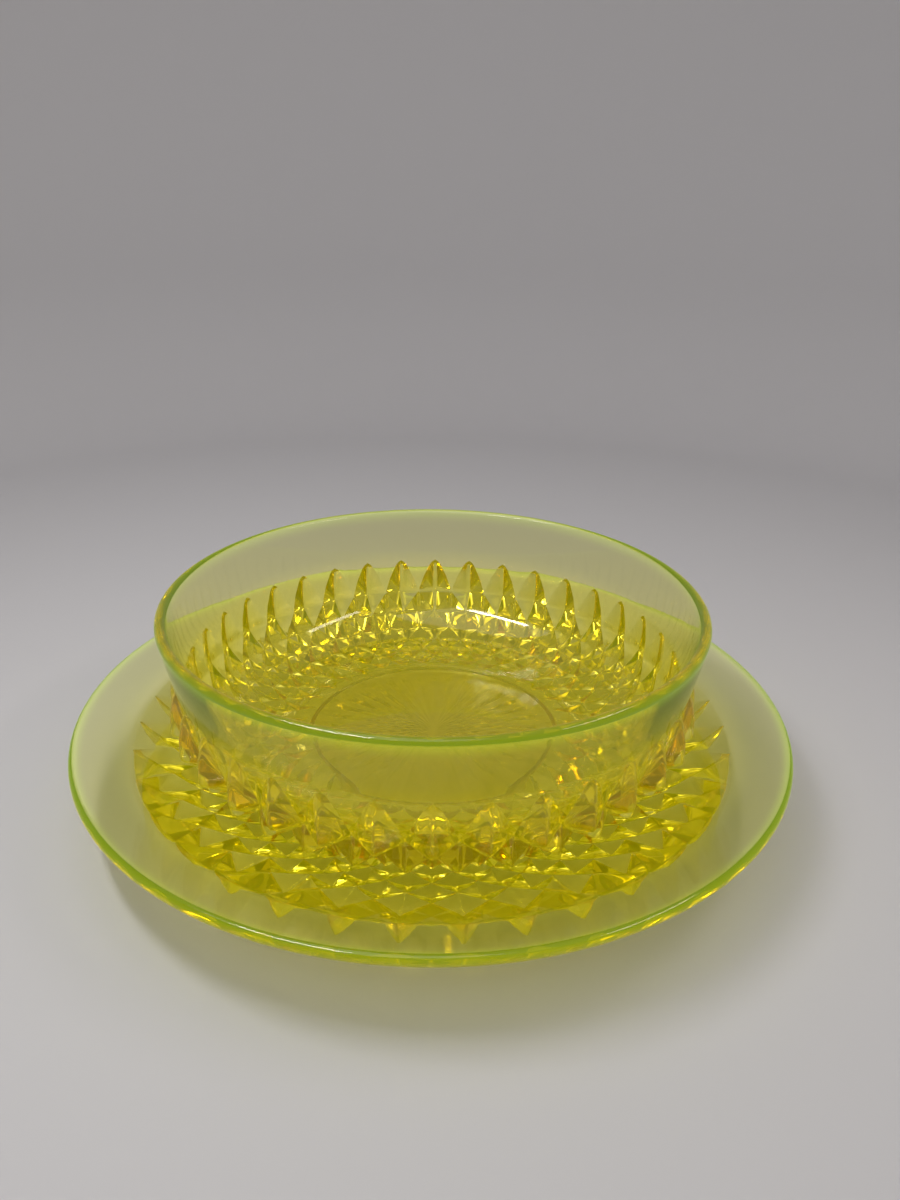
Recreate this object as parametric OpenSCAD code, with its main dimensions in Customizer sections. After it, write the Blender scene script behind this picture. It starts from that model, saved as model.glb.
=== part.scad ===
// Pressed glass dish set: a round bowl resting in its matching underplate.
// Both pieces carry rows of diamond points outside and a star under the base.
// Frame: origin at the centre of the underplate's foot, +Z up, millimetres.

/* [Bowl] */
// Outside diameter of the bowl at its rim
bowl_d = 126; // [105:1:160]
// Height of the bowl from its foot to the top of its rim
bowl_h = 40.5; // [34:0.5:56]
// Thickness of the bowl's rounded rim
bowl_lip_t = 2.5; // [1.8:0.1:3.2]
// Thickness of the bowl's wall where the diamond points start
bowl_wall = 3.2; // [2.4:0.1:4]
// How far the plain band narrows from the rim to the first points
bowl_taper = 2.8; // [0:0.1:6]
// Height of the plain band from the first points to the rim
bowl_band_h = 15.2; // [8:0.2:20]
// Diameter of the bowl's foot
bowl_foot_d = 61; // [44:1:76]
// Thickness of the bowl's base, measured from its foot
bowl_base_t = 5.4; // [4.4:0.1:8]

/* [Underplate] */
// How far the underplate's rim stands outside the bowl's rim
plate_reach = 21; // [16:0.5:32]
// Height of the underplate from its foot to the top of its rim
plate_h = 19.5; // [16:0.5:26]
// Thickness of the underplate's rounded rim
plate_lip_t = 2.3; // [1.8:0.1:3.2]
// Thickness of the underplate where the diamond points start
plate_wall = 2.8; // [2.2:0.1:3.6]
// Width of the plain flange outside the first points
plate_band_w = 12.3; // [6:0.1:16]
// Rise of the flange from the first points to the rim
plate_band_rise = 2.0; // [0:0.1:4]
// Diameter of the underplate's foot
plate_foot_d = 78; // [62:1:96]
// Thickness of the underplate's base, measured from its foot
plate_base_t = 6.5; // [5:0.1:9]
// Width of the flat well left round the bowl's foot
seat_margin = 11; // [4:0.5:14]

/* [Diamond points] */
// Number of points round each row
point_count = 36; // [24:2:48]
// How far the points of the bowl's first row stand out from their grooves
bowl_spike_out = 3.8; // [1.5:0.1:5]
// How far those points hang below their grooves
bowl_spike_drop = 1.2; // [0:0.1:3]
// Height of the bowl's other points, as it would be at the first row
bowl_point_h = 4.0; // [1.5:0.1:5]
// Length of the long upper half of the bowl's first row
bowl_spike_len = 9.9; // [6:0.1:14]
// Rows of points on the bowl
bowl_rows = 6; // [3:1:8]
// How far the points of the underplate's first row stand out from their grooves
plate_spike_out = 4.6; // [2:0.1:7]
// How far those points hang below their grooves
plate_spike_drop = 2.8; // [1:0.1:5]
// Height of the underplate's other points, as it would be at the first row
plate_point_h = 5.6; // [1.5:0.1:6]
// Length of the long outer half of the underplate's first row
plate_spike_len = 9.6; // [6:0.1:14]
// Rows of points on the underplate
plate_rows = 5; // [3:1:8]
// Length of each half row as a share of the one before it
row_shrink = 0.93; // [0.8:0.01:0.99]
// Power by which the points get lower towards the foot
point_fall = 2.5; // [1:0.1:3]

/* [Star base] */
// Number of rays in each star
ray_count = 36; // [16:2:48]
// Depth of the rays at their outer ends
ray_depth = 0.5; // [0.3:0.1:1.6]
// Width of the flat ring that each piece stands on
foot_ring_w = 3.0; // [2:0.1:6]

/* [Hidden] */

CURVE_STEPS = 14; // straight pieces in each long curve of a section
LIP_STEPS = 10; // straight pieces in the half round of a rim
ROUND_FN = 144; // segments of every turned surface
RELIEF_INSET = 0.15; // the relief starts this far inside the plain surface above it
FOOT_INSET = 1.0; // the foot stands this far inside the lowest points
FOOT_OVERLAP = 1.0; // the foot reaches this far into the glass above it
NORMAL_REACH = 1.5; // length each way that a direction is measured over
STAR_ROOT = 0.15; // depth of the star between its rays and at its centre
CUT_BEYOND = 2.0; // every cutter reaches this far past the glass
GLASS = "#b3bd1c"; // yellow-green

half_step = 180 / point_count;
bowl_r = bowl_d / 2;
bowl_foot_r = bowl_foot_d / 2;
bowl_lip = [bowl_r - bowl_lip_t / 2, bowl_h - bowl_lip_t / 2];
bowl_tip = [bowl_r - bowl_taper, bowl_h - bowl_band_h];
bowl_tip_in = bowl_tip - [bowl_wall, 0];
plate_foot_r = plate_foot_d / 2;
plate_lip = [bowl_r + plate_reach - plate_lip_t / 2, plate_h - plate_lip_t / 2];
plate_tip_top = [bowl_r + plate_reach - plate_band_w, plate_lip[1] - plate_band_rise];
plate_tip = plate_tip_top - [0, plate_wall];
well_z = plate_base_t;

// Cubic curve between two points. The shares a and b of the way across and
// down steer how it leaves the first point and how it reaches the second.
function cubic(p, t) = pow(1 - t, 3) * p[0] + 3 * pow(1 - t, 2) * t * p[1]
    + 3 * (1 - t) * pow(t, 2) * p[2] + pow(t, 3) * p[3];
function share(d, a) = [d[0] * a[0], d[1] * a[1]];
function sweep(from, to, a, b) = let (p = [from, from + share(to - from, a), from + share(to - from, b), to])
    [for (i = [0 : CURVE_STEPS]) cubic(p, i / CURVE_STEPS)];

// Half circle that starts at angle a0 and turns over the rim
function half_round(centre, r, a0) = [for (i = [0 : LIP_STEPS]) let (a = a0 + 180 * i / LIP_STEPS)
    centre + r * [cos(a), sin(a)]];

// Running length along a line, and the point and the outward direction at a length
function lengths(p, i = 0, s = 0) = i == len(p) - 1 ? [s]
    : concat([s], lengths(p, i + 1, s + norm(p[i + 1] - p[i])));
function index_at(s, at, i = 0) = i >= len(s) - 2 || at <= s[i + 1] ? i : index_at(s, at, i + 1);
function point_at(p, s, at) = let (i = index_at(s, at), f = (at - s[i]) / (s[i + 1] - s[i]))
    p[i] + f * (p[i + 1] - p[i]);
function outward_at(p, s, at) =
    let (d = point_at(p, s, at + NORMAL_REACH) - point_at(p, s, at - NORMAL_REACH))
    [-d[1], d[0]] / norm(d);

// Length at which ring k of corners lies: one long step, then steps that shrink evenly
function ring_at(k, first, total, rows) = k == 0 ? 0
    : first + (total - first) * (1 - pow(row_shrink, k - 1)) / (1 - pow(row_shrink, rows));
function turned(p, a) = [p[0] * cos(a), p[0] * sin(a), p[1]];

// Sections of the glass between the first points and the foot
bowl_outside_end = [bowl_foot_r + FOOT_INSET, bowl_base_t - bowl_wall];
bowl_outside = sweep(bowl_tip, bowl_outside_end, [0.056, 0.81], [0.286, 0.93]);
bowl_inside = sweep(bowl_tip_in, [bowl_foot_r + bowl_wall, bowl_base_t], [0.06, 0.75], [0.42, 1]);
plate_underside_end = [plate_foot_r + FOOT_INSET, well_z - plate_wall];
plate_underside = sweep(plate_tip, plate_underside_end, [0.2, 0.5], [0.45, 0.98]);
plate_top = sweep(plate_tip_top, [bowl_foot_r + seat_margin, well_z], [0.36, 0.45], [0.62, 1]);

// Closed solid inside a section line that runs down and inwards, with rows of
// four-sided points on it. Each row sits in the gaps of the row above.
module diamond_core(line, first, rows, spike, height, shift) {
    n = point_count;
    s = lengths(line);
    at = [for (k = [0 : rows + 1]) ring_at(k, first, s[len(s) - 1], rows)];
    widest = point_at(line, s, at[1])[0];
    corners = [for (k = [0 : rows + 1], i = [0 : n - 1])
        let (p = point_at(line, s, at[k]) - [k == 0 ? RELIEF_INSET : 0, 0])
        turned(p, (2 * i + shift + k % 2) * half_step)];
    peaks = [for (k = [1 : rows], i = [0 : n - 1])
        let (p = point_at(line, s, at[k]), h = height * pow(p[0] / widest, point_fall))
        let (stands = k == 1 ? spike : h * outward_at(line, s, at[k]))
        turned(p + stands, (2 * i + shift + 1 - k % 2) * half_step)];
    facets = [for (k = [1 : rows], i = [0 : n - 1])
        let (over = (k - 1) * n + i,
            under = (k + 1) * n + i,
            left = k * n + (i - k % 2 + n) % n,
            right = k * n + (i + 1 - k % 2) % n,
            peak = (rows + 1 + k) * n + i)
        each [[over, right, peak], [right, under, peak], [under, left, peak], [left, over, peak]]];
    last = (rows + 1) * n;
    gaps_above = [for (i = [0 : n - 1]) [i, (i + 1) % n, n + i]];
    gaps_below = [for (i = [0 : n - 1]) [last + i, last - n + (i + 1 - rows % 2) % n, last + (i + 1) % n]];
    caps = [[for (i = [0 : n - 1]) n - 1 - i], [for (i = [0 : n - 1]) last + i]];
    polyhedron(points = concat(corners, peaks), faces = concat(facets, gaps_above, gaps_below, caps));
}

// Cutter for the star under a base, with rays that deepen from its centre to radius r
module star_cutter(r) {
    n = 2 * ray_count;
    rim = [for (top = [0, 1], i = [0 : n - 1])
        turned([r, top == 0 ? -CUT_BEYOND : i % 2 == 0 ? ray_depth : STAR_ROOT], i * 360 / n)];
    walls = [for (i = [0 : n - 1]) let (k = (i + 1) % n) each [[i, n + i, n + k], [i, n + k, k]]];
    rays = [for (i = [0 : n - 1]) [n + i, 2 * n, n + (i + 1) % n]];
    floor_cap = [for (i = [0 : n - 1]) i];
    polyhedron(points = concat(rim, [[0, 0, STAR_ROOT]]), faces = concat(walls, rays, [floor_cap]));
}

module turned_section(points) {
    rotate_extrude($fn = ROUND_FN)
        polygon(points);
}

// Points and foot of one piece, with its star cut out below and its hollow above.
// relief holds the length of the first half row, the number of rows and their height.
module pressed_body(line, relief, spike, shift, foot_r, hollow) {
    difference() {
        union() {
            diamond_core(line, relief[0], relief[1], spike, relief[2], shift);
            cylinder(r = foot_r, h = line[CURVE_STEPS][1] + FOOT_OVERLAP, $fn = ROUND_FN);
        }
        turned_section(hollow);
        star_cutter(foot_r - foot_ring_w);
    }
}

module bowl() {
    top = bowl_tip[1] + CUT_BEYOND;
    lean = atan2(bowl_lip[0] - bowl_tip[0] + bowl_wall / 2, bowl_lip[1] - bowl_tip[1]);
    hollow = concat(bowl_inside, [[0, bowl_base_t], [0, top], [bowl_tip_in[0], top]]);
    band = concat([bowl_tip_in, bowl_tip], half_round(bowl_lip, bowl_lip_t / 2, -lean));
    relief = [bowl_spike_len, bowl_rows, bowl_point_h];
    spike = [bowl_spike_out, -bowl_spike_drop];
    color(GLASS)
        translate([0, 0, well_z]) {
            pressed_body(bowl_outside, relief, spike, 0, bowl_foot_r, hollow);
            turned_section(band);
        }
}

module underplate() {
    top = plate_tip_top[1] + CUT_BEYOND;
    tilt = atan2(plate_lip[1] - plate_tip[1] - plate_wall / 2, plate_lip[0] - plate_tip[0]);
    hollow = concat(plate_top, [[0, well_z], [0, top], [plate_tip_top[0], top]]);
    // the flange runs inwards over the points until its top has come down to their level
    s = [for (i = [0 : CURVE_STEPS]) plate_tip_top[1] - plate_top[i][1]];
    inner = point_at(plate_top, s, plate_wall);
    shoulder = [for (p = plate_top) if (p[1] > plate_tip[1]) p];
    relief = [plate_spike_len, plate_rows, plate_point_h];
    spike = [plate_spike_out, -plate_spike_drop];
    flange = concat([inner, plate_tip], half_round(plate_lip, plate_lip_t / 2, tilt - 90), shoulder);
    color(GLASS) {
        pressed_body(plate_underside, relief, spike, 1, plate_foot_r, hollow);
        turned_section(flange);
    }
}

underplate();
bowl();
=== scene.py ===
import math

import bpy
import numpy as np
from mathutils import Matrix, Vector


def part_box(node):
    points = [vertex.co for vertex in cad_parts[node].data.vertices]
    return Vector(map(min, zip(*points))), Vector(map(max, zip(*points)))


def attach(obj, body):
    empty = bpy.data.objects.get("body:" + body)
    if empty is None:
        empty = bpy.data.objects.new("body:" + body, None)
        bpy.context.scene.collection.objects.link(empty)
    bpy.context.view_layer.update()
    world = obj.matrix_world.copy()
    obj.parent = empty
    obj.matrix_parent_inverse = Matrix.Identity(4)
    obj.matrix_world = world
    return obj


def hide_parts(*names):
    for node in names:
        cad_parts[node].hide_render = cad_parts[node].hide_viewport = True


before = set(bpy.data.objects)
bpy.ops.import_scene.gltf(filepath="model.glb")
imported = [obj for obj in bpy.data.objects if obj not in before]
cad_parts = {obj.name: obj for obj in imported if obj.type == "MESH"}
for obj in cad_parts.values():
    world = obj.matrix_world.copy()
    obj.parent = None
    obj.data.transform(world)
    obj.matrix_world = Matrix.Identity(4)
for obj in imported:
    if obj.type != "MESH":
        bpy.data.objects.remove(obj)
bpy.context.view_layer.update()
mm = 0.001  # lengths in the dictionaries are millimetres, Blender's are metres
print("frame loaded:", sorted(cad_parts))


def hexToLinear(hexColour, alpha=1.0):
    channels = [int(hexColour[i:i + 2], 16) / 255 for i in (1, 3, 5)]
    linear = [c / 12.92 if c <= 0.04045 else ((c + 0.055) / 1.055) ** 2.4 for c in channels]
    return (*linear, alpha)


def addNode(tree, kind, settings=None, sockets=None, links=None):
    # one node with its properties, its fixed socket values and what feeds its sockets
    node = tree.nodes.new(kind)
    for name, value in (settings or {}).items():
        setattr(node, name, value)
    for name, value in (sockets or {}).items():
        node.inputs[name].default_value = value
    for name, source in (links or {}).items():
        tree.links.new(source, node.inputs[name])
    return node


# camera
cameraView = {
    "lens": 26.44,
    "sensor": 36,         # along the long side
    "nearest": 5,         # nothing closer than this is drawn
    "distance": 206.4,    # from the middle of the bowl's rim
    "elevation": 23.6,    # degrees above the rim
    "pitch": 24.08,       # degrees the camera looks down
    "yaw": 1.08,          # degrees it is turned to the right
    "roll": 1.01,         # degrees it leans to the left
}


def makeCamera():
    lowest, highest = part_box("bowl")
    rimCentre = Vector(((lowest.x + highest.x) / 2, (lowest.y + highest.y) / 2, highest.z))
    elevation = math.radians(cameraView["elevation"])
    away = Vector((0, -math.cos(elevation), math.sin(elevation))) * cameraView["distance"] * mm
    turn = (
        Matrix.Rotation(-math.radians(cameraView["yaw"]), 4, "Z")
        @ Matrix.Rotation(math.radians(90 - cameraView["pitch"]), 4, "X")
        @ Matrix.Rotation(math.radians(cameraView["roll"]), 4, "Z")
    )
    data = bpy.data.cameras.new("camera")
    data.lens = cameraView["lens"]
    data.sensor_width = cameraView["sensor"]
    data.clip_start = cameraView["nearest"] * mm
    camera = bpy.data.objects.new("camera", data)
    camera.matrix_world = Matrix.Translation(rimCentre + away) @ turn
    bpy.context.scene.collection.objects.link(camera)
    bpy.context.scene.camera = camera


makeCamera()
print("camera placed")


# pressed glass
# Steps from one groove to the next. They crowd at both ends, where the ridges are rounded.
facetSteps = (0.0, 0.06, 0.14, 0.5, 0.86, 0.94)
ridgeRound = 0.06   # half width of a rounded ridge, as a share of one step of the lattice
pointsRound = 36    # points in each row

bowlShape = {
    "lip": 2.5,                 # thickness of the fire-polished rim
    "band": (2.8, 15.2),        # how far the plain band runs in and down to the first points
    "wallAcross": (-3.2, 0.0),  # from the outside to the inside of the wall at the first points
    "foot": 61.0,               # diameter
    "base": 5.4,                # thickness over the foot
    "wallAtFoot": 3.2,
    "outerCurve": ((0.056, 0.81), (0.286, 0.93)),
    "innerCurve": ((0.06, 0.75), (0.42, 1.0)),
    "floorRadius": 33.7,        # where the inner curve reaches the flat floor
    "spikeLength": 9.9,         # long upper half of row 1
    "spike": (3.8, -1.2),       # how far its points stand out and hang below their grooves
    "pointHeight": 4.0,         # the other rows, as it would be at row 1
    "rows": 6,
    "archPower": 0.6,           # how the spikes of row 1 widen from their tips, 1 is straight
    "halfPitch": 0,             # 1 turns the pattern by half a pitch, 0 has a point at the front
    "lift": 0.05,               # gap under the foot, glass on glass touches at a few spots only
}

plateShape = {
    "lip": 2.3,
    "band": (12.3, 5.95),
    "wallAcross": (0.0, 2.8),
    "foot": 78.0,
    "base": 6.5,
    "wallAtFoot": 2.8,
    "outerCurve": ((0.2, 0.5), (0.45, 0.98)),
    "innerCurve": ((0.36, 0.45), (0.62, 1.0)),
    "floorRadius": 41.5,
    "spikeLength": 9.6,
    "spike": (4.6, -2.8),
    "pointHeight": 5.6,
    "rows": 5,
    "archPower": 0.95,
    "halfPitch": 1,             # row 1 has a groove in the middle of the front
    "lift": 0.0,
}

pressing = {
    "rowShrink": 0.93,      # each half row is this share of the one before
    "pointFall": 2.5,       # points get lower towards the foot by this power of the radius
    "footInset": 1.0,       # the foot stands this far inside the lowest points
    "footRing": 3.0,        # width of the flat ring it stands on
    "footEdge": 0.5,        # rounding of the foot's edge
    "starDepth": 0.3,       # depth of the star's rays at their ends
    "starRoot": 0.04,       # depth between them
    "starSlope": 2.5,       # length of the slope that closes each ray
    "starCentre": 1.5,      # radius of the plain middle
    "normalReach": 1.5,     # a direction is measured over this length each way
    "curvePoints": 90,      # points that each long curve is drawn with
    "lipPoints": 17,
    "insideSpacing": 1.0,   # rings on the inside are this far apart
    "insideEasing": 8,      # passes that soften them
}


def sweep(start, end, shares, count):
    # cubic curve, steered by how far across and down its two handles lie
    run = end - start
    handles = [start, start + run * shares[0], start + run * shares[1], end]
    t = np.linspace(0, 1, count)[:, None]
    weights = [(1 - t) ** 3, 3 * (1 - t) ** 2 * t, 3 * (1 - t) * t ** 2, t ** 3]
    return sum(w * p for w, p in zip(weights, handles))


def straight(start, end, count):
    return start + (end - start) * np.linspace(0, 1, count)[:, None]


def arc(centre, radius, fromAngle, toAngle, count):
    a = np.radians(np.linspace(fromAngle, toAngle, count))
    return centre + radius * np.column_stack([np.cos(a), np.sin(a)])


def lengthsAlong(line):
    return np.concatenate([[0], np.cumsum(np.linalg.norm(np.diff(line, axis=0), axis=1))])


def placeAt(line, at):
    runs = lengthsAlong(line)
    return np.column_stack([np.interp(at, runs, line[:, 0]), np.interp(at, runs, line[:, 1])])


def eased(line, spacing, passes):
    # evenly spaced and softened, the way a plunger leaves the inside of pressed glass
    count = int(lengthsAlong(line)[-1] / spacing) + 1
    line = placeAt(line, np.linspace(0, lengthsAlong(line)[-1], count))
    for _ in range(passes):
        line[1:-1] = (line[:-2] + 2 * line[1:-1] + line[2:]) / 4
    return line


def sideways(directions):
    normals = np.column_stack([directions[:, 1], -directions[:, 0]])
    return normals / np.linalg.norm(normals, axis=1)[:, None]


def ringNormals(line):
    # the longer neighbour counts for more, so flats stay flat up to their rounded edges
    steps = np.diff(line, axis=0)
    sums = np.vstack([steps[:1], steps[:-1] + steps[1:], steps[-1:]])
    return sideways(sums)


def rounded(x):
    # absolute value with a rounded corner
    x = np.abs(x)
    return np.where(x < ridgeRound, x * x / (2 * ridgeRound) + ridgeRound / 2, x)


def diamonds(across, down, rows, archPower):
    # Where the lattice lies: each place's share of the full point height, how far it moves
    # sideways, and a share that is 0 in every groove. The long upper halves of row 1 are arches.
    a, b = across + down, across - down
    nearA, nearB = 2 * np.floor(a / 2 + 1e-9) + 1, 2 * np.floor(b / 2 + 1e-9) + 1
    row = (nearA - nearB) / 2
    u, v = across - (nearA + nearB) / 2, down - row
    groove = 1 - np.abs(u) - np.abs(v)
    real = (row > 0.5) & (row < rows + 0.5)
    height = np.where(real, np.maximum(1 - rounded(u) - rounded(v), 0), 0)
    t = np.clip(down, 0, 1)
    arch = t ** archPower
    inArch = (down < 1) & (row > 0.5)
    inGap = (down < 1) & (row < 0.5)
    spread = np.sign(u) * np.abs(u) * arch / np.maximum(t, 1e-6)
    toGap = np.sign(u) * np.abs(u) * (1 - arch) / np.maximum(1 - t, 1e-6)
    moved = np.where(inArch, spread - u, np.where(inGap, toGap - u, 0))
    height = np.where(inArch, np.maximum(arch - rounded(spread), 0), height)
    return height, moved, groove, row


def latticeSteps(count):
    return np.array([k + t for k in range(count) for t in facetSteps])


def pressedRings(shape, radius, height):
    # the section of one piece from the star's centre out, over the rim and back to the floor's centre
    p = pressing
    tipOut = np.array([radius - shape["band"][0], height - shape["band"][1]])
    tipIn = tipOut + shape["wallAcross"]
    lipRadius = shape["lip"] / 2
    lipCentre = np.array([radius - lipRadius, height - lipRadius])
    lean = lipCentre - (tipOut + tipIn) / 2
    lipStart = math.degrees(math.atan2(lean[1], lean[0])) - 90
    foot = shape["foot"] / 2
    starRadius = foot - p["footRing"]
    footTop = np.array([foot + p["footInset"], shape["base"] - shape["wallAtFoot"]])

    star = straight(np.array([p["starCentre"], 0.0]), np.array([starRadius - p["starSlope"], 0.0]), 10)
    starShares = star[:, 0] / star[-1, 0]
    edge = p["footEdge"]
    footLine = np.vstack([
        straight(np.array([starRadius, 0.0]), np.array([foot - 2 * edge, 0.0]), 3),
        arc(np.array([foot - edge, edge]), edge, -90, 0, 5),
        straight(np.array([foot, 2 * edge]), footTop - [p["footInset"], p["footInset"] / 2], 2),
        footTop - [p["footInset"] / 2, p["footInset"] / 8],
    ])

    outer = sweep(tipOut, footTop, shape["outerCurve"], p["curvePoints"])
    total = lengthsAlong(outer)[-1]
    k = np.arange(shape["rows"] + 1)
    shrink = (1 - p["rowShrink"] ** k) / (1 - p["rowShrink"] ** shape["rows"])
    ringPlaces = np.concatenate([[0], shape["spikeLength"] + (total - shape["spikeLength"]) * shrink])
    rowPlaces = np.append(latticeSteps(shape["rows"] + 1), shape["rows"] + 1)[::-1]
    at = np.interp(rowPlaces, np.arange(shape["rows"] + 2), ringPlaces)
    relief = placeAt(outer, at)
    reach = placeAt(outer, at - p["normalReach"]) - placeAt(outer, at + p["normalReach"])

    lip = arc(lipCentre, lipRadius, lipStart, lipStart + 180, p["lipPoints"])
    bandOut = straight(tipOut, lip[0], 9)[1:-1]
    floorEdge = np.array([shape["floorRadius"], shape["base"]])
    inner = sweep(tipIn, floorEdge, shape["innerCurve"], p["curvePoints"])
    inside = np.vstack([lip[-1:], inner, [[p["starCentre"], shape["base"]]]])
    inside = eased(inside, p["insideSpacing"], p["insideEasing"])[1:]

    sections = [star, footLine, relief, bandOut, lip, inside]
    line = np.vstack(sections)
    names = np.repeat(["star", "foot", "relief", "band", "lip", "inside"], [len(s) for s in sections])
    normals = ringNormals(line)
    isRelief = names == "relief"
    outward = sideways(reach)
    widest = placeAt(outer, ringPlaces[1:2])[0, 0]
    tall = shape["pointHeight"] * (relief[:, 0] / widest) ** p["pointFall"]
    points = np.zeros((len(line), 2))
    points[isRelief] = outward * tall[:, None]
    rowAt = np.zeros(len(line))
    rowAt[isRelief] = rowPlaces
    shares = np.zeros(len(line))
    shares[names == "star"] = starShares
    normals[isRelief] = outward
    return {"line": line, "names": names, "normals": normals, "points": points, "row": rowAt, "star": shares}


def pressedMesh(name, shape, radius, height, foot):
    p = pressing
    rings = pressedRings(shape, radius, height)
    line, normals, names = rings["line"], rings["normals"], rings["names"]
    across = latticeSteps(2 * pointsRound)
    columns = len(across)
    count = len(line)
    angle = across * math.pi / pointsRound
    isRelief = names == "relief"

    share, moved, groove, row = diamonds(
        across[None, :] + shape["halfPitch"], rings["row"][:, None], shape["rows"], shape["archPower"])
    moved = np.where(isRelief[:, None], moved, 0)
    turn = (across[None, :] + moved) * math.pi / pointsRound
    share = np.where(isRelief[:, None], share, 0)
    first = row == 1
    raisedOut = share * np.where(first, shape["spike"][0], rings["points"][:, :1])
    raisedUp = share * np.where(first, shape["spike"][1], rings["points"][:, 1:])
    groove = np.where(isRelief[:, None], groove, 1)
    offRay = np.abs(across % 2 - 1)  # 1 on a ray, 0 between two
    rays = np.where(names == "star", 1, 0)[:, None] * (
        p["starRoot"] + (p["starDepth"] - p["starRoot"]) * rings["star"][:, None] * offRay[None, :])

    r = line[:, :1] + raisedOut
    z = line[:, 1:] + raisedUp + rays
    points = np.stack([r * np.cos(turn), r * np.sin(turn), z], axis=2).reshape(-1, 3)
    points = np.vstack([points, [[0, 0, p["starRoot"]], [0, 0, shape["base"]]]])
    points = points * mm + [0, 0, foot + shape["lift"] * mm]

    # quads all round; the relief is split along its grooves
    j, i = [g.ravel() for g in np.meshgrid(np.arange(count - 1), np.arange(columns), indexing="ij")]
    nextI = (i + 1) % columns
    quads = np.column_stack([
        j * columns + i, j * columns + nextI, (j + 1) * columns + nextI, (j + 1) * columns + i])
    split = isRelief[j] & isRelief[j + 1]
    middleAcross = (across[i] + np.append(across[1:], 2 * pointsRound)[i]) / 2 + shape["halfPitch"]
    middleDown = (rings["row"][j] + rings["row"][j + 1]) / 2
    rising = (np.floor(middleAcross) + np.floor(middleDown)) % 2 == 1
    q = quads[split & rising]
    s = quads[split & ~rising]
    triangles = np.vstack([q[:, [0, 1, 2]], q[:, [0, 2, 3]], s[:, [0, 1, 3]], s[:, [1, 2, 3]]])
    plain = quads[~split]
    ring = np.arange(columns)
    under = np.column_stack([np.full(columns, count * columns), (ring + 1) % columns, ring])
    last = (count - 1) * columns
    over = np.column_stack([np.full(columns, count * columns + 1), last + ring, last + (ring + 1) % columns])
    faces = [*plain.tolist(), *triangles.tolist(), *under.tolist(), *over.tolist()]

    mesh = bpy.data.meshes.new(name)
    mesh.from_pydata(points.tolist(), [], faces)
    mesh.polygons.foreach_set("use_smooth", np.ones(len(faces), bool))
    inGroove = np.append(np.abs(groove).ravel() < 1e-6, [False, False])
    ends = np.empty(2 * len(mesh.edges), int)
    mesh.edges.foreach_get("vertices", ends)
    ends = ends.reshape(-1, 2)
    sharp = mesh.attributes.new("sharp_edge", "BOOLEAN", "EDGE")
    sharp.data.foreach_set("value", inGroove[ends[:, 0]] & inGroove[ends[:, 1]])

    # exact directions on the turned surfaces, measured ones on the relief and the star
    exact = np.stack([
        normals[:, :1] * np.cos(angle), normals[:, :1] * np.sin(angle), np.repeat(normals[:, 1:], columns, 1),
    ], axis=2).reshape(-1, 3)
    exact = np.vstack([exact, [[0, 0, -1], [0, 0, 1]]])
    turned = np.append(np.repeat((names != "star") & ~isRelief, columns), [False, True])
    corners = np.empty(3 * len(mesh.loops))
    mesh.corner_normals.foreach_get("vector", corners)
    corners = corners.reshape(-1, 3)
    loopVertex = np.empty(len(mesh.loops), int)
    mesh.loops.foreach_get("vertex_index", loopVertex)
    keep = turned[loopVertex]
    corners[keep] = exact[loopVertex[keep]]
    mesh.normals_split_custom_set(corners.tolist())

    piece = bpy.data.objects.new(name, mesh)
    bpy.context.scene.collection.objects.link(piece)
    return piece


# the glass itself
glass = {
    "ior": 1.52,              # soda-lime glass with a little uranium oxide
    "tintsWithPaintedShade": {"pressedBowl": "#F3EFE9", "pressedUnderplate": "#FDFCF6"},  # loss at each surface; the bowl's darker tint is painted shade, since both pieces are the same glass
    "depthColour": "#FBF426",
    "depthDensity": 175.0,    # per metre; violet and blue are gone within a few millimetres
    "paintedGlow": "#F8FF20",        # painted glow: emission standing in for light that passes through the glass, with a little of the uranium's daylight fluorescence; gold in the thick pattern
    "paintedRimGlow": "#CCFF10",     # and painted green glow along the rim, standing in for light that runs along the glass to the rim
    "paintedGlowThin": 0.018,        # painted glow in the plain bands
    "paintedGlowThick": 0.041,       # painted glow in the pattern and the base
    "paintedGlowAtRim": 0.17,
    "paintedGlowFade": 2.0,          # half the width over which one painted glow turns into the other
    "paintedRimGlowIn": 3.2,         # the painted rim glow fades out over this far in
    "rimGlowDown": 4.5,       # and this far down
    "polish": (0.015, 0.05),  # roughness of fire-polished glass, and where it is handled
    "handled": (0.45, 0.75),  # where the handling starts and is full, in the spread of its noise
    "handledScale": 60.0,     # smudges of some 17 mm, a finger's width
    "waveSize": 14.0,         # slow waves that the cooling mould leaves
    "waveDepth": 0.05,
    "skinSize": 1.6,          # fine orange peel of a cast-iron mould
    "skinDepth": 0.004,
}


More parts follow.
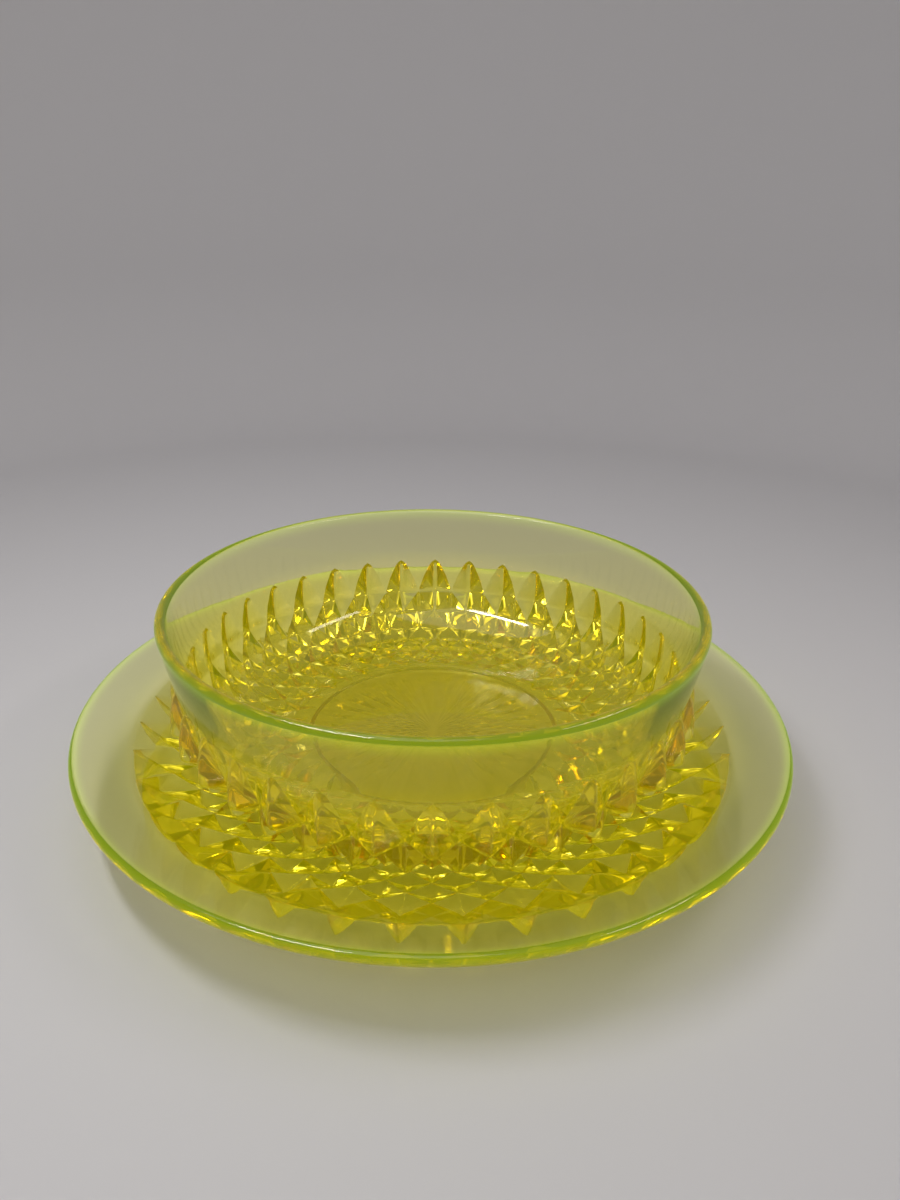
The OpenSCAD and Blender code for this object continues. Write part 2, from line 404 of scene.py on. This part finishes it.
def pressedUraniumGlass(name, rimRadius, rimHeight, bandRadius, bandHeight):
    # Pressed and fire-polished: clear and wet-looking, slow waves in the plain parts, crisp points,
    # deep yellow where it is thick, and a painted glow: green along the rim where light runs along to it,
    # weaker gold in the body.
    material = bpy.data.materials.new(name + "UraniumGlass")
    material.use_nodes = True
    tree = material.node_tree
    tree.nodes.clear()
    place = addNode(tree, "ShaderNodeTexCoord").outputs["Object"]

    waves = addNode(
        tree, "ShaderNodeTexNoise", {},
        {"Scale": 1 / (glass["waveSize"] * mm), "Detail": 1.0, "Roughness": 0.4}, {"Vector": place})
    waveBump = addNode(
        tree, "ShaderNodeBump", {}, {"Strength": 1.0, "Distance": glass["waveDepth"] * mm},
        {"Height": waves.outputs["Fac"]})
    skin = addNode(
        tree, "ShaderNodeTexNoise", {},
        {"Scale": 1 / (glass["skinSize"] * mm), "Detail": 2.0, "Roughness": 0.5}, {"Vector": place})
    skinBump = addNode(
        tree, "ShaderNodeBump", {}, {"Strength": 1.0, "Distance": glass["skinDepth"] * mm},
        {"Height": skin.outputs["Fac"], "Normal": waveBump.outputs["Normal"]})

    handled = addNode(
        tree, "ShaderNodeTexNoise", {},
        {"Scale": glass["handledScale"], "Detail": 4.0, "Roughness": 0.6}, {"Vector": place})
    rough = addNode(
        tree, "ShaderNodeMapRange", {},
        {"From Min": glass["handled"][0], "From Max": glass["handled"][1],
         "To Min": glass["polish"][0], "To Max": glass["polish"][1]},
        {"Value": handled.outputs["Fac"]})

    # the painted glow fades in over the last millimetres before the rim
    apart = addNode(tree, "ShaderNodeSeparateXYZ", {}, {}, {"Vector": place})
    flat = addNode(
        tree, "ShaderNodeCombineXYZ", {}, {}, {"X": apart.outputs["X"], "Y": apart.outputs["Y"]})
    outwards = addNode(
        tree, "ShaderNodeVectorMath", {"operation": "LENGTH"}, {}, {"Vector": flat.outputs["Vector"]})
    nearEdge = addNode(
        tree, "ShaderNodeMapRange", {"interpolation_type": "SMOOTHSTEP"},
        {"From Min": rimRadius - glass["paintedRimGlowIn"] * mm, "From Max": rimRadius},
        {"Value": outwards.outputs["Value"]})
    nearTop = addNode(
        tree, "ShaderNodeMapRange", {"interpolation_type": "SMOOTHSTEP"},
        {"From Min": rimHeight - glass["rimGlowDown"] * mm, "From Max": rimHeight},
        {"Value": apart.outputs["Z"]})
    paintedRimGlowMask = addNode(
        tree, "ShaderNodeMath", {"operation": "MULTIPLY"}, {},
        {0: nearEdge.outputs["Result"], 1: nearTop.outputs["Result"]})
    # and the painted glow is weak in the thin plain band, which starts at this radius and height
    fade = glass["paintedGlowFade"] * mm
    within = addNode(
        tree, "ShaderNodeMapRange", {},
        {"From Min": bandRadius + fade, "From Max": bandRadius - fade}, {"Value": outwards.outputs["Value"]})
    below = addNode(
        tree, "ShaderNodeMapRange", {},
        {"From Min": bandHeight + fade, "From Max": bandHeight - fade}, {"Value": apart.outputs["Z"]})
    thick = addNode(
        tree, "ShaderNodeMath", {"operation": "MULTIPLY"}, {},
        {0: within.outputs["Result"], 1: below.outputs["Result"]})
    body = addNode(
        tree, "ShaderNodeMapRange", {},
        {"To Min": glass["paintedGlowThin"], "To Max": glass["paintedGlowThick"]}, {"Value": thick.outputs["Value"]})
    paintedGlow = addNode(
        tree, "ShaderNodeMapRange", {},
        {"To Max": glass["paintedGlowAtRim"]},
        {"Value": paintedRimGlowMask.outputs["Value"], "To Min": body.outputs["Result"]})
    paintedGlowColour = addNode(
        tree, "ShaderNodeMix", {"data_type": "RGBA"},
        {6: hexToLinear(glass["paintedRimGlow"]), 7: hexToLinear(glass["paintedGlow"])}, {0: thick.outputs["Value"]})

    # its base colour carries the tint, with painted shade on the bowl; its emission is painted glow, glass
    # giving off light though it is no lamp
    surface = addNode(
        tree, "ShaderNodeBsdfPrincipled", {},
        {"Base Color": hexToLinear(glass["tintsWithPaintedShade"][name]), "Transmission Weight": 1.0, "IOR": glass["ior"]},
        {"Roughness": rough.outputs["Result"], "Normal": skinBump.outputs["Normal"],
         "Emission Color": paintedGlowColour.outputs[2], "Emission Strength": paintedGlow.outputs["Result"]})
    inside = addNode(
        tree, "ShaderNodeVolumeAbsorption", {},
        {"Color": hexToLinear(glass["depthColour"]), "Density": glass["depthDensity"]})
    addNode(
        tree, "ShaderNodeOutputMaterial", {}, {},
        {"Surface": surface.outputs["BSDF"], "Volume": inside.outputs["Volume"]})
    return material


def makePiece(name, body, shape):
    lowest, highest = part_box(body)
    radius = (highest.x - lowest.x) / 2 / mm
    height = (highest.z - lowest.z) / mm
    piece = pressedMesh(name, shape, radius, height - shape["lift"], lowest.z)
    # the bowl's band stands up, the underplate's lies flat: each starts where its points end, and there the
    # painted glow turns from thin to thick
    standing = shape["band"][1] > shape["band"][0]
    bandRadius = highest.x if standing else highest.x - shape["band"][0] * mm
    bandHeight = highest.z - shape["band"][1] * mm if standing else highest.z
    fade = glass["paintedGlowFade"] * mm
    piece.data.materials.append(
        pressedUraniumGlass(name, highest.x, highest.z, bandRadius + fade, bandHeight + fade))
    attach(piece, body)
    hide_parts(body)
    print(name, "made with", len(piece.data.polygons), "faces")


makePiece("pressedBowl", "bowl", bowlShape)
makePiece("pressedUnderplate", "underplate", plateShape)


# floor, backdrop and light
studio = {
    "floor": "#D3D2D4",
    "floorRoughness": 0.9,
    "sides": 96,           # of the round backdrop
    "radius": 430.0,       # the floor turns up into a wall this far out
    "wallHeight": 520.0,
    "cove": 90.0,          # radius of the turn
    "below": 0.2,          # the floor lies this far under the foot
    "air": "#C8C5C4",      # light from all round
    "airStrength": 0.70,
}

lamps = [
    # name, place, size, power in watts, colour
    ("overheadPanel", (-80, -50, 420), (360, 260), 0.36, "#FFFBF7"),
    ("keyStrip", (-120, -75, 290), (150, 25), 0.26, "#FFFFFF"),
    ("sideStrip", (190, -40, 260), (160, 25), 0.10, "#FFF8F0"),
]


def makeStage():
    p = studio
    turn = arc(np.array([p["radius"] - p["cove"], p["cove"]]), p["cove"], -90, 0, 13)
    line = np.vstack([[[0.0, 0.0]], turn, [[p["radius"], p["wallHeight"]]]])
    count, columns = len(line), p["sides"]
    angle = np.arange(columns) * 2 * math.pi / columns
    points = [
        (r * math.cos(a) * mm, r * math.sin(a) * mm, (z - p["below"]) * mm)
        for r, z in line[1:] for a in angle]
    points.append((0, 0, -p["below"] * mm))
    centre = len(points) - 1
    faces = [(centre, i, (i + 1) % columns) for i in range(columns)]
    for j in range(count - 2):
        for i in range(columns):
            k = (i + 1) % columns
            faces.append((j * columns + i, (j + 1) * columns + i, (j + 1) * columns + k, j * columns + k))
    mesh = bpy.data.meshes.new("sweepFloor")
    mesh.from_pydata(points, [], faces)
    mesh.polygons.foreach_set("use_smooth", np.ones(len(faces), bool))
    material = bpy.data.materials.new("mattCard")
    material.use_nodes = True
    card = material.node_tree.nodes["Principled BSDF"]
    card.inputs["Base Color"].default_value = hexToLinear(p["floor"])
    card.inputs["Roughness"].default_value = p["floorRoughness"]
    mesh.materials.append(material)
    floor = bpy.data.objects.new("sweepFloor", mesh)
    bpy.context.scene.collection.objects.link(floor)


def makeLights():
    world = bpy.data.worlds.new("softAir")
    bpy.context.scene.world = world
    world.use_nodes = True
    background = world.node_tree.nodes["Background"]
    background.inputs["Color"].default_value = hexToLinear(studio["air"])
    background.inputs["Strength"].default_value = studio["airStrength"]
    for name, place, size, power, colour in lamps:
        data = bpy.data.lights.new(name, "AREA")
        data.shape = "RECTANGLE"
        data.size, data.size_y = size[0] * mm, size[1] * mm
        data.energy = power
        data.color = hexToLinear(colour)[:3]
        lamp = bpy.data.objects.new(name, data)
        lamp.location = Vector(place) * mm
        lamp.rotation_mode = "QUATERNION"
        lamp.rotation_quaternion = (-lamp.location).to_track_quat("-Z", "Y")
        bpy.context.scene.collection.objects.link(lamp)


makeStage()
makeLights()
bpy.context.scene.view_settings.view_transform = "Standard"
print("stage and lights placed")
